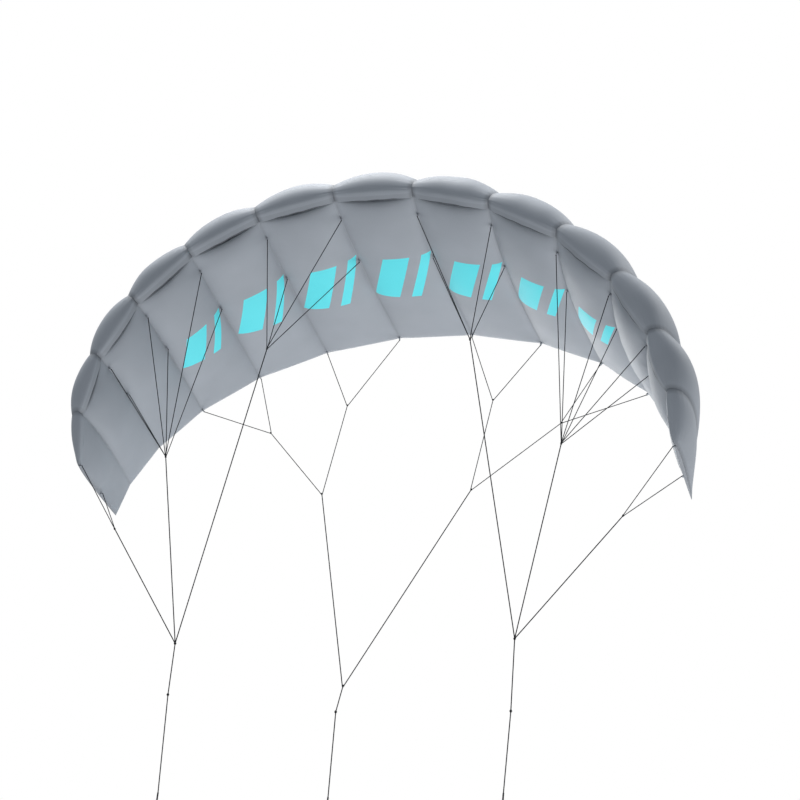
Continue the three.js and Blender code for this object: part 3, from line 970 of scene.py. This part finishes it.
def roundedSeams(points, cell, t, v, billow, side, reach, fullness):
    # each edge rises in its rib's plane by reach x tan(end slope of the arc) x e^(-distance / reach)
    isLeft = v < 0.5
    seamFullness = np.where(isLeft, (fullness[0] + fullness[1]) / 2, (fullness[1] + fullness[2]) / 2)
    seamFullness = seamFullness * np.where(isLeft, cell > 0, cell < plan["cells"] - 1)
    rise = reach * np.tan(2 * np.arctan(2 * billow * seamFullness)) * np.exp(-side / reach)
    normal = np.where(isLeft[..., None], profileNormal(t, cell), profileNormal(t, cell + 1))
    return points + rise[..., None] * normal


def metricMaps(points, cell):
    # across and along in metres, and the distances to the nearer side and to the trailing edge
    steps = np.linalg.norm(np.diff(points, axis=1), axis=-1)
    across = np.concatenate([np.zeros((len(points), 1)), np.cumsum(steps, axis=1)], axis=1)
    width = across[:, -1:]
    middle = len(points[0]) // 2
    spine = np.linalg.norm(np.diff(points[:, middle], axis=0), axis=-1)
    along = np.concatenate([[0], np.cumsum(spine)])[:, None] + 0 * across
    cellMiddle = (ribs["reach"][cell] + ribs["reach"][cell + 1]) / 2
    uv = np.stack([across - width / 2 + cellMiddle, along], -1)
    edges = np.stack([np.minimum(across, width - across), along[-1:] - along], -1)
    return uv, edges, across, along


def clothArea(points):
    # sum of the two triangles of each of the grid's quads, on both sides of its diagonal
    corner = points[:-1, :-1]
    across, diagonal, down = (other - corner for other in (points[:-1, 1:], points[1:, 1:], points[1:, :-1]))
    first = np.linalg.norm(np.cross(across, diagonal), axis=-1)
    second = np.linalg.norm(np.cross(diagonal, down), axis=-1)
    return float((first + second).sum() / 2)


def cutOf(points, across, along):
    # the smooth panel's greatest width, its length down the middle, and its area
    return {"flat": (float(across[:, -1].max()), float(along[-1, 0])), "area": clothArea(points)}


def seamPucker(side, along):
    # sine along the seam x e^(-distance / reach) x (1 - e^(-distance / start))
    wave = np.sin(2 * np.pi * along / folds["puckerLength"] + rng.uniform(0, folds["phases"]))
    near = np.exp(-side / folds["puckerReach"]) * (1 - np.exp(-side / folds["puckerStart"]))
    return folds["pucker"] * wave * near


def lipRipple(cell, across, along, window):
    # sine across the cell x e^(-distance from the slit / reach), as far as the slit is open
    wave = np.sin(2 * np.pi * across / folds["lipWaveLength"] + rng.uniform(0, folds["phases"]))
    return openness(cell) * folds["lipWave"] * wave * np.exp(-along / folds["lipWaveReach"]) * window


def slowWaves(across, along):
    # a few long sine waves in seeded directions
    total = np.zeros_like(across)
    for _ in range(folds["slowCount"]):
        direction = rng.uniform(0, np.pi)
        phase = rng.uniform(0, 2 * np.pi)
        length = rng.uniform(folds["slowShort"], folds["slowLong"])
        wave = (across * np.cos(direction) + along * np.sin(direction)) * 2 * np.pi / length + phase
        total += np.sin(wave)
    return folds["slow"] * total / folds["slowShare"]


def noseFolds(side, noseAlong):
    # creases: sine along the nose between start and reach; shoulder: x e^(1 - x), x = distance / its reach
    crease = np.sin(2 * np.pi * noseAlong / folds["creaseLength"])
    crease = crease * np.exp(-side / folds["creaseReach"]) * (1 - np.exp(-side / folds["creaseStart"]))
    crease = crease * np.exp(-(noseAlong / folds["creaseSpan"]) ** 2)
    shoulder = side / folds["shoulderReach"] * np.exp(1 - side / folds["shoulderReach"])
    shoulder = shoulder * np.exp(-(noseAlong / folds["shoulderLength"]) ** 2)
    return folds["noseCrease"] * crease + folds["shoulder"] * shoulder


def tabFolds(cell, across, fromNose):
    # cos(rays x angle about the tab) x e^(-distance / reach), held flat at the seam
    total = np.zeros_like(across)
    for rib, distance in ((cell, across), (cell + 1, across[:, -1:] - across)):
        for place in tabPlaces(rib).values():
            reach = np.hypot(distance, fromNose - place)
            angle = np.arctan2(fromNose - place, distance)
            fan = np.cos(folds["tabRays"] * angle) * np.exp(-reach / folds["tabReach"])
            total += fan * (1 - np.exp(-distance / folds["tabStart"]))
    return folds["tabFold"] * total


def risingBillow(t, start, length):
    # billow x sine of a quarter turn from t = -start on x (1 - t^4)
    rise = np.clip((t + start) / length, 0, 1)
    return cloth["upperBillow"] * np.sin(np.pi / 2 * rise) * (1 - t ** 4)


def upperPanel(cell):
    # from the lip under the nose to the trailing edge; billow, folds and rounded seams
    s = np.linspace(0, 1, cloth["upperRows"])[:, None]
    v = crossColumns()
    lip = -np.sqrt(edgeShare(cell, v, intake["lipShare"]) - slitHalf(cell, v) / cellChord(cell))
    t = lip + s * (1 - lip)
    v = v + 0 * t
    isOpen = openness(cell)
    billow = risingBillow(t, np.sqrt(intake["share"]), cloth["billowRise"])
    closed = risingBillow(t, intake["closedRise"], 2 * intake["closedRise"])
    points = clothPoint(cell, t, v, upperFullness(cell) * (isOpen * billow + (1 - isOpen) * closed))
    uv, edges, across, along = metricMaps(points, cell)
    cut = cutOf(points, across, along)
    side = edges[..., 0]
    window = np.sin(np.pi * v)
    noseAlong = along[:, :1] - np.interp(0, t[:, t.shape[1] // 2], along[:, 0])
    moved = seamPucker(side, along) + lipRipple(cell, across, along, window) + noseFolds(side, noseAlong)
    moved = moved + slowWaves(across, along) * window * np.clip((1 - t) / folds["upperTail"], 0, 1)
    below = np.hypot(np.maximum(-noseAlong, 0), intake["chinSoft"]) - intake["chinSoft"]
    moved = moved + isOpen * intake["chinSlope"] * below * window ** intake["chinWidth"]
    points = points + moved[..., None] * gridNormals(points)
    fullness = [upperFullness(near) for near in (cell - 1, cell, cell + 1)]
    points = roundedSeams(points, cell, t, v, billow, side, cloth["upperSeamReach"], fullness)
    return {"points": points, "uvs": {"UVMap": uv, "EdgeMap": edges}, **cut}


def lowerPanel(cell):
    # from the slit back to the trailing edge; the grid faces into the cell, so folds go against its normals
    s = np.linspace(0, 1, cloth["lowerRows"])[:, None]
    v = crossColumns()
    chord = cellChord(cell)
    gap = slitHalf(cell, v) + intake["leastGap"]
    front = np.sqrt(edgeShare(cell, v, intake["frontShare"]) + gap / chord)
    t = -(front + s * (1 - front))
    v = v + 0 * t
    isOpen = openness(cell)
    fullness = cloth["lowerFullness"].get(cell, 1.0)
    arch = np.sin(np.pi * s)
    billow = cloth["lowerBillow"] * arch ** cloth["lowerBillowPower"] + 0 * t
    closed = upperFullness(cell) * intake["closedBillow"] * (1 - s) ** intake["closedFall"]
    closed = closed + fullness * cloth["lowerBillow"] * arch ** intake["closedPower"]
    points = clothPoint(cell, t, v, isOpen * billow + (1 - isOpen) * closed)
    uv, edges, across, along = metricMaps(points, cell)
    cut = cutOf(points, across, along)
    side = edges[..., 0]
    window = np.sin(np.pi * v)
    moved = seamPucker(side, along) + lipRipple(cell, across, along, window)
    moved = moved + tabFolds(cell, across, t * t * chord)
    moved = moved + slowWaves(across, along) * window * np.clip((1 - s) / folds["lowerTail"], 0, 1)
    tuck = intake["tuck"] * np.exp(-along / intake["tuckReach"]) * window ** intake["tuckWidth"]
    moved = moved - isOpen * tuck
    held = arch ** cloth["dipPower"]
    heldSoft = isOpen * held + (1 - isOpen) * arch ** intake["closedPower"]
    moved = moved + fullness * cloth["seamDip"] * (1 - np.exp(-side / cloth["dipReach"])) * heldSoft
    points = points - moved[..., None] * gridNormals(points)
    steeper = cloth["seamDip"] / cloth["dipReach"] / 4 * held  # an arc's end slope is about 4 x its billow
    fullness = (1.0, 1.0, 1.0)
    points = roundedSeams(points, cell, t, v, billow + steeper, side, cloth["lowerSeamReach"], fullness)
    cellMap = np.stack([v, t * t], -1)
    return {"points": points, "uvs": {"UVMap": uv, "EdgeMap": edges, "CellMap": cellMap}, **cut}


gauze = {
    "depth": 0.012,  # behind the slit
    "lap": 0.015,
    "sideGap": 0.04,  # of the cell's width
    "rows": 7,
    "columns": 40,
}


def gauzeStrip(cell):
    # fine net behind the slit, from the lip to the lower skin's front edge, set back into the cell
    s = np.linspace(0, 1, gauze["rows"])[:, None]
    v = np.linspace(gauze["sideGap"], 1 - gauze["sideGap"], gauze["columns"])[None]
    half = (slitHalf(cell, v) + gauze["lap"]) / cellChord(cell)
    t = -np.sqrt(intake["share"] - half + 2 * half * s)
    points = clothPoint(cell, t, v + 0 * t, np.zeros_like(t))
    points = points + gauze["depth"] * gridNormals(points)
    uv, edges, across, along = metricMaps(points, cell)
    return {"points": points, "uvs": {"UVMap": uv, "EdgeMap": edges}, **cutOf(points, across, along)}


ribCloth = {
    "front": 0.02,  # shares of the chord
    "rear": 0.995,
    "inset": 0.0012,  # from the skins, where a rib has one on both sides
    "rows": 70,
    "columns": 7,
}


def ribSheet(rib):
    # straight threads from belly to crest, drawn in a little so that the skin covers them
    share = np.linspace(ribCloth["front"], ribCloth["rear"], ribCloth["rows"])[:, None]
    rise = np.linspace(0, 1, ribCloth["columns"])[None]
    t = np.sqrt(share)
    y, top = profilePoint(t, rib)
    _, bottom = profilePoint(-t, rib)
    inset = ribCloth["inset"] if 0 < rib < ribCount - 1 else 0.0
    top, bottom = top - inset, bottom + inset
    height = bottom + (top - bottom) * rise
    y = y + 0 * rise
    points = inRib(rib, y, height)
    edges = np.stack([np.minimum(height - bottom, top - height), ribs["chord"][rib] - y], -1)
    return {
        "points": points,
        "uvs": {"UVMap": np.stack([y, height], -1), "EdgeMap": edges},
        "flat": (float((top - bottom).max()), float(np.ptp(y))),
        "area": clothArea(points),
    }


def addSheet(name, sheet, material, node, facesOut):
    # facesOut says that the grid's own faces are the outer ones; the cloth gets its thickness inwards
    rows, columns = sheet["points"].shape[:2]
    quads = gridQuads(rows, columns, flip=not facesOut)
    layers = {layer: uv.reshape(-1, 2) for layer, uv in sheet["uvs"].items()}
    piece = meshFromArrays(name, sheet["points"].reshape(-1, 3), quads, layers, material)
    solidify = piece.modifiers.new("thickness", "SOLIDIFY")
    solidify.thickness = cloth["thickness"]
    solidify.offset = -1
    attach(piece, "root")
    if node:
        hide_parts(node)


for cell in range(plan["cells"]):
    number = f"{cell + 1:02d}"
    isTip = cell in (0, plan["cells"] - 1)
    look = materials["tip" if isTip else "upper"]
    addSheet(f"upperSkin_{number}", upperPanel(cell), look, f"upper_panel_{number}", True)
    look = materials["lower"]
    addSheet(f"lowerSkin_{number}", lowerPanel(cell), look, f"lower_panel_{number}", False)
    if not isTip:
        addSheet(f"intakeGauze_{number}", gauzeStrip(cell), materials["gauze"], None, False)
print("skins sewn:", 2 * plan["cells"])

for rib in range(ribCount):
    number = f"{rib + 1:02d}"
    addSheet(f"ribSheet_{number}", ribSheet(rib), materials["rib"], f"rib_{number}", True)


tape = {
    "width": 0.0090,
    "thickness": 0.0006,
    "length": 0.022,
    "lap": 0.002,  # of its ends over the rib, above the belly
    "loopRadius": 0.0014,
    "turnPoints": 9,
    "columns": 4,
}


def tabTape(rib, y):
    # a strip that goes down one side of the rib, round a half circle and up the other
    radius, lap = tape["loopRadius"], tape["lap"]
    angle = np.linspace(0, np.pi, tape["turnPoints"])
    low = radius - tabDepth(rib)
    across = np.concatenate([[-radius, -radius], -radius * np.cos(angle), [radius, radius]])[:, None]
    down = np.concatenate([[lap, low / 2], low - radius * np.sin(angle), [low / 2, lap]])[:, None]
    wide = (np.linspace(-1, 1, tape["columns"]) * tape["width"] / 2)[None]
    along = np.linspace(0, tape["length"], len(across))[:, None]
    wide, along, across, down = np.broadcast_arrays(wide, along, across, down)
    points = inRib(rib, y + wide, bellyHeight(y, rib) + down, across)
    return points.reshape(-1, 3), gridQuads(*wide.shape), np.stack([wide, along], -1).reshape(-1, 2)


places = [(rib, y) for rib in range(ribCount) for y in tabPlaces(rib).values()]
points, quads, uv = joinParts([tabTape(rib, y) for rib, y in places])
tapes = meshFromArrays("lineTabs", points, quads, {"UVMap": uv}, materials["tape"])
tapeThickness = tapes.modifiers.new("thickness", "SOLIDIFY")
tapeThickness.thickness = tape["thickness"]
tapeThickness.offset = 0
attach(tapes, "root")
print("ribs and tabs:", ribCount, len(places))

# Floor, background and light

studio = {
    "floorHeight": -3.3,
    "floorHalf": 40,  # half the side of the floor
    "floorColour": (0.80, 0.80, 0.80, 1.0),
    "floorFinish": (0.9, 0.0, 0.1),  # roughness, sheen and specular level
    "floorDarker": 0.98,  # in slow patches
    "floorToneScale": 0.4,
    "seenWhite": 1.0,
    "ambient": 0.375,
    "ambientColour": (0.94, 1.0, 1.07, 1.0),
    "aim": (0.0, 0.2, 1.6),
    # direction and distance from the kite, size of the disk, and light that it gives on a surface facing it
    "lights": {
        "keyAbove": {"towards": (-0.22, -0.10, 0.97), "distance": 4.0, "size": 3.0, "strength": 1.32},
        "bounceBehind": {"towards": (0.28, 0.58, -0.76), "distance": 6.0, "size": 4.0, "strength": 0.81},
        "sideFill": {"towards": (0.61, 0.41, 0.68), "distance": 6.0, "size": 3.0, "strength": 0.33},
        "rimBehind": {"towards": (-0.48, 0.83, 0.28), "distance": 6.0, "size": 3.0, "strength": 0.40},
    },
}


def addFloor():
    half, height = studio["floorHalf"], studio["floorHeight"]
    corners = np.array([(x * half, y * half, height) for x, y in ((-1, -1), (1, -1), (1, 1), (-1, 1))])
    material, tree, shader = newMaterial("floorPaint", *studio["floorFinish"])
    tone = useGroup(tree, softTone, Scale=studio["floorToneScale"])["Tone"]
    darker = colourTimes(studio["floorColour"], studio["floorDarker"])
    connect(tree, mixColour(tree, tone, darker, studio["floorColour"]), shader.inputs["Base Color"])
    quads = np.array([[0, 1, 2, 3]])
    floor = meshFromArrays("floor", corners, quads, {"UVMap": corners[:, :2]}, material, smooth=False)


def addWorld():
    # white where the camera sees it, dimmer where it lights the kite
    world = bpy.data.worlds.new("studioWhite")
    bpy.context.scene.world = world
    world.use_nodes = True
    tree = world.node_tree
    background = next(node for node in tree.nodes if node.type == "BACKGROUND")
    seen = tree.nodes.new("ShaderNodeLightPath").outputs["Is Camera Ray"]
    white = (studio["seenWhite"],) * 3 + (1.0,)
    dim = colourTimes(studio["ambientColour"], studio["ambient"])
    connect(tree, mixColour(tree, seen, dim, white), background.inputs["Color"])


def addLight(name, settings):
    # watts = strength x pi squared x distance squared, for a disk that faces the kite
    data = bpy.data.lights.new(name, "AREA")
    data.shape = "DISK"
    data.size = settings["size"]
    data.energy = settings["strength"] * (math.pi * settings["distance"]) ** 2
    light = bpy.data.objects.new(name, data)
    back = np.array(settings["towards"]) / np.linalg.norm(settings["towards"])
    right = np.cross([0.0, 1.0, 0.0], back)
    right /= np.linalg.norm(right)
    up = np.cross(back, right)
    light.matrix_world = placedAxes(right, up, back, np.array(studio["aim"]) + settings["distance"] * back)
    light.visible_camera = False
    bpy.context.collection.objects.link(light)


addFloor()
addWorld()
for lightName, lightSettings in studio["lights"].items():
    addLight(lightName, lightSettings)
bpy.context.scene.view_settings.view_transform = "Standard"
print("studio lit:", len(studio["lights"]), "lights")
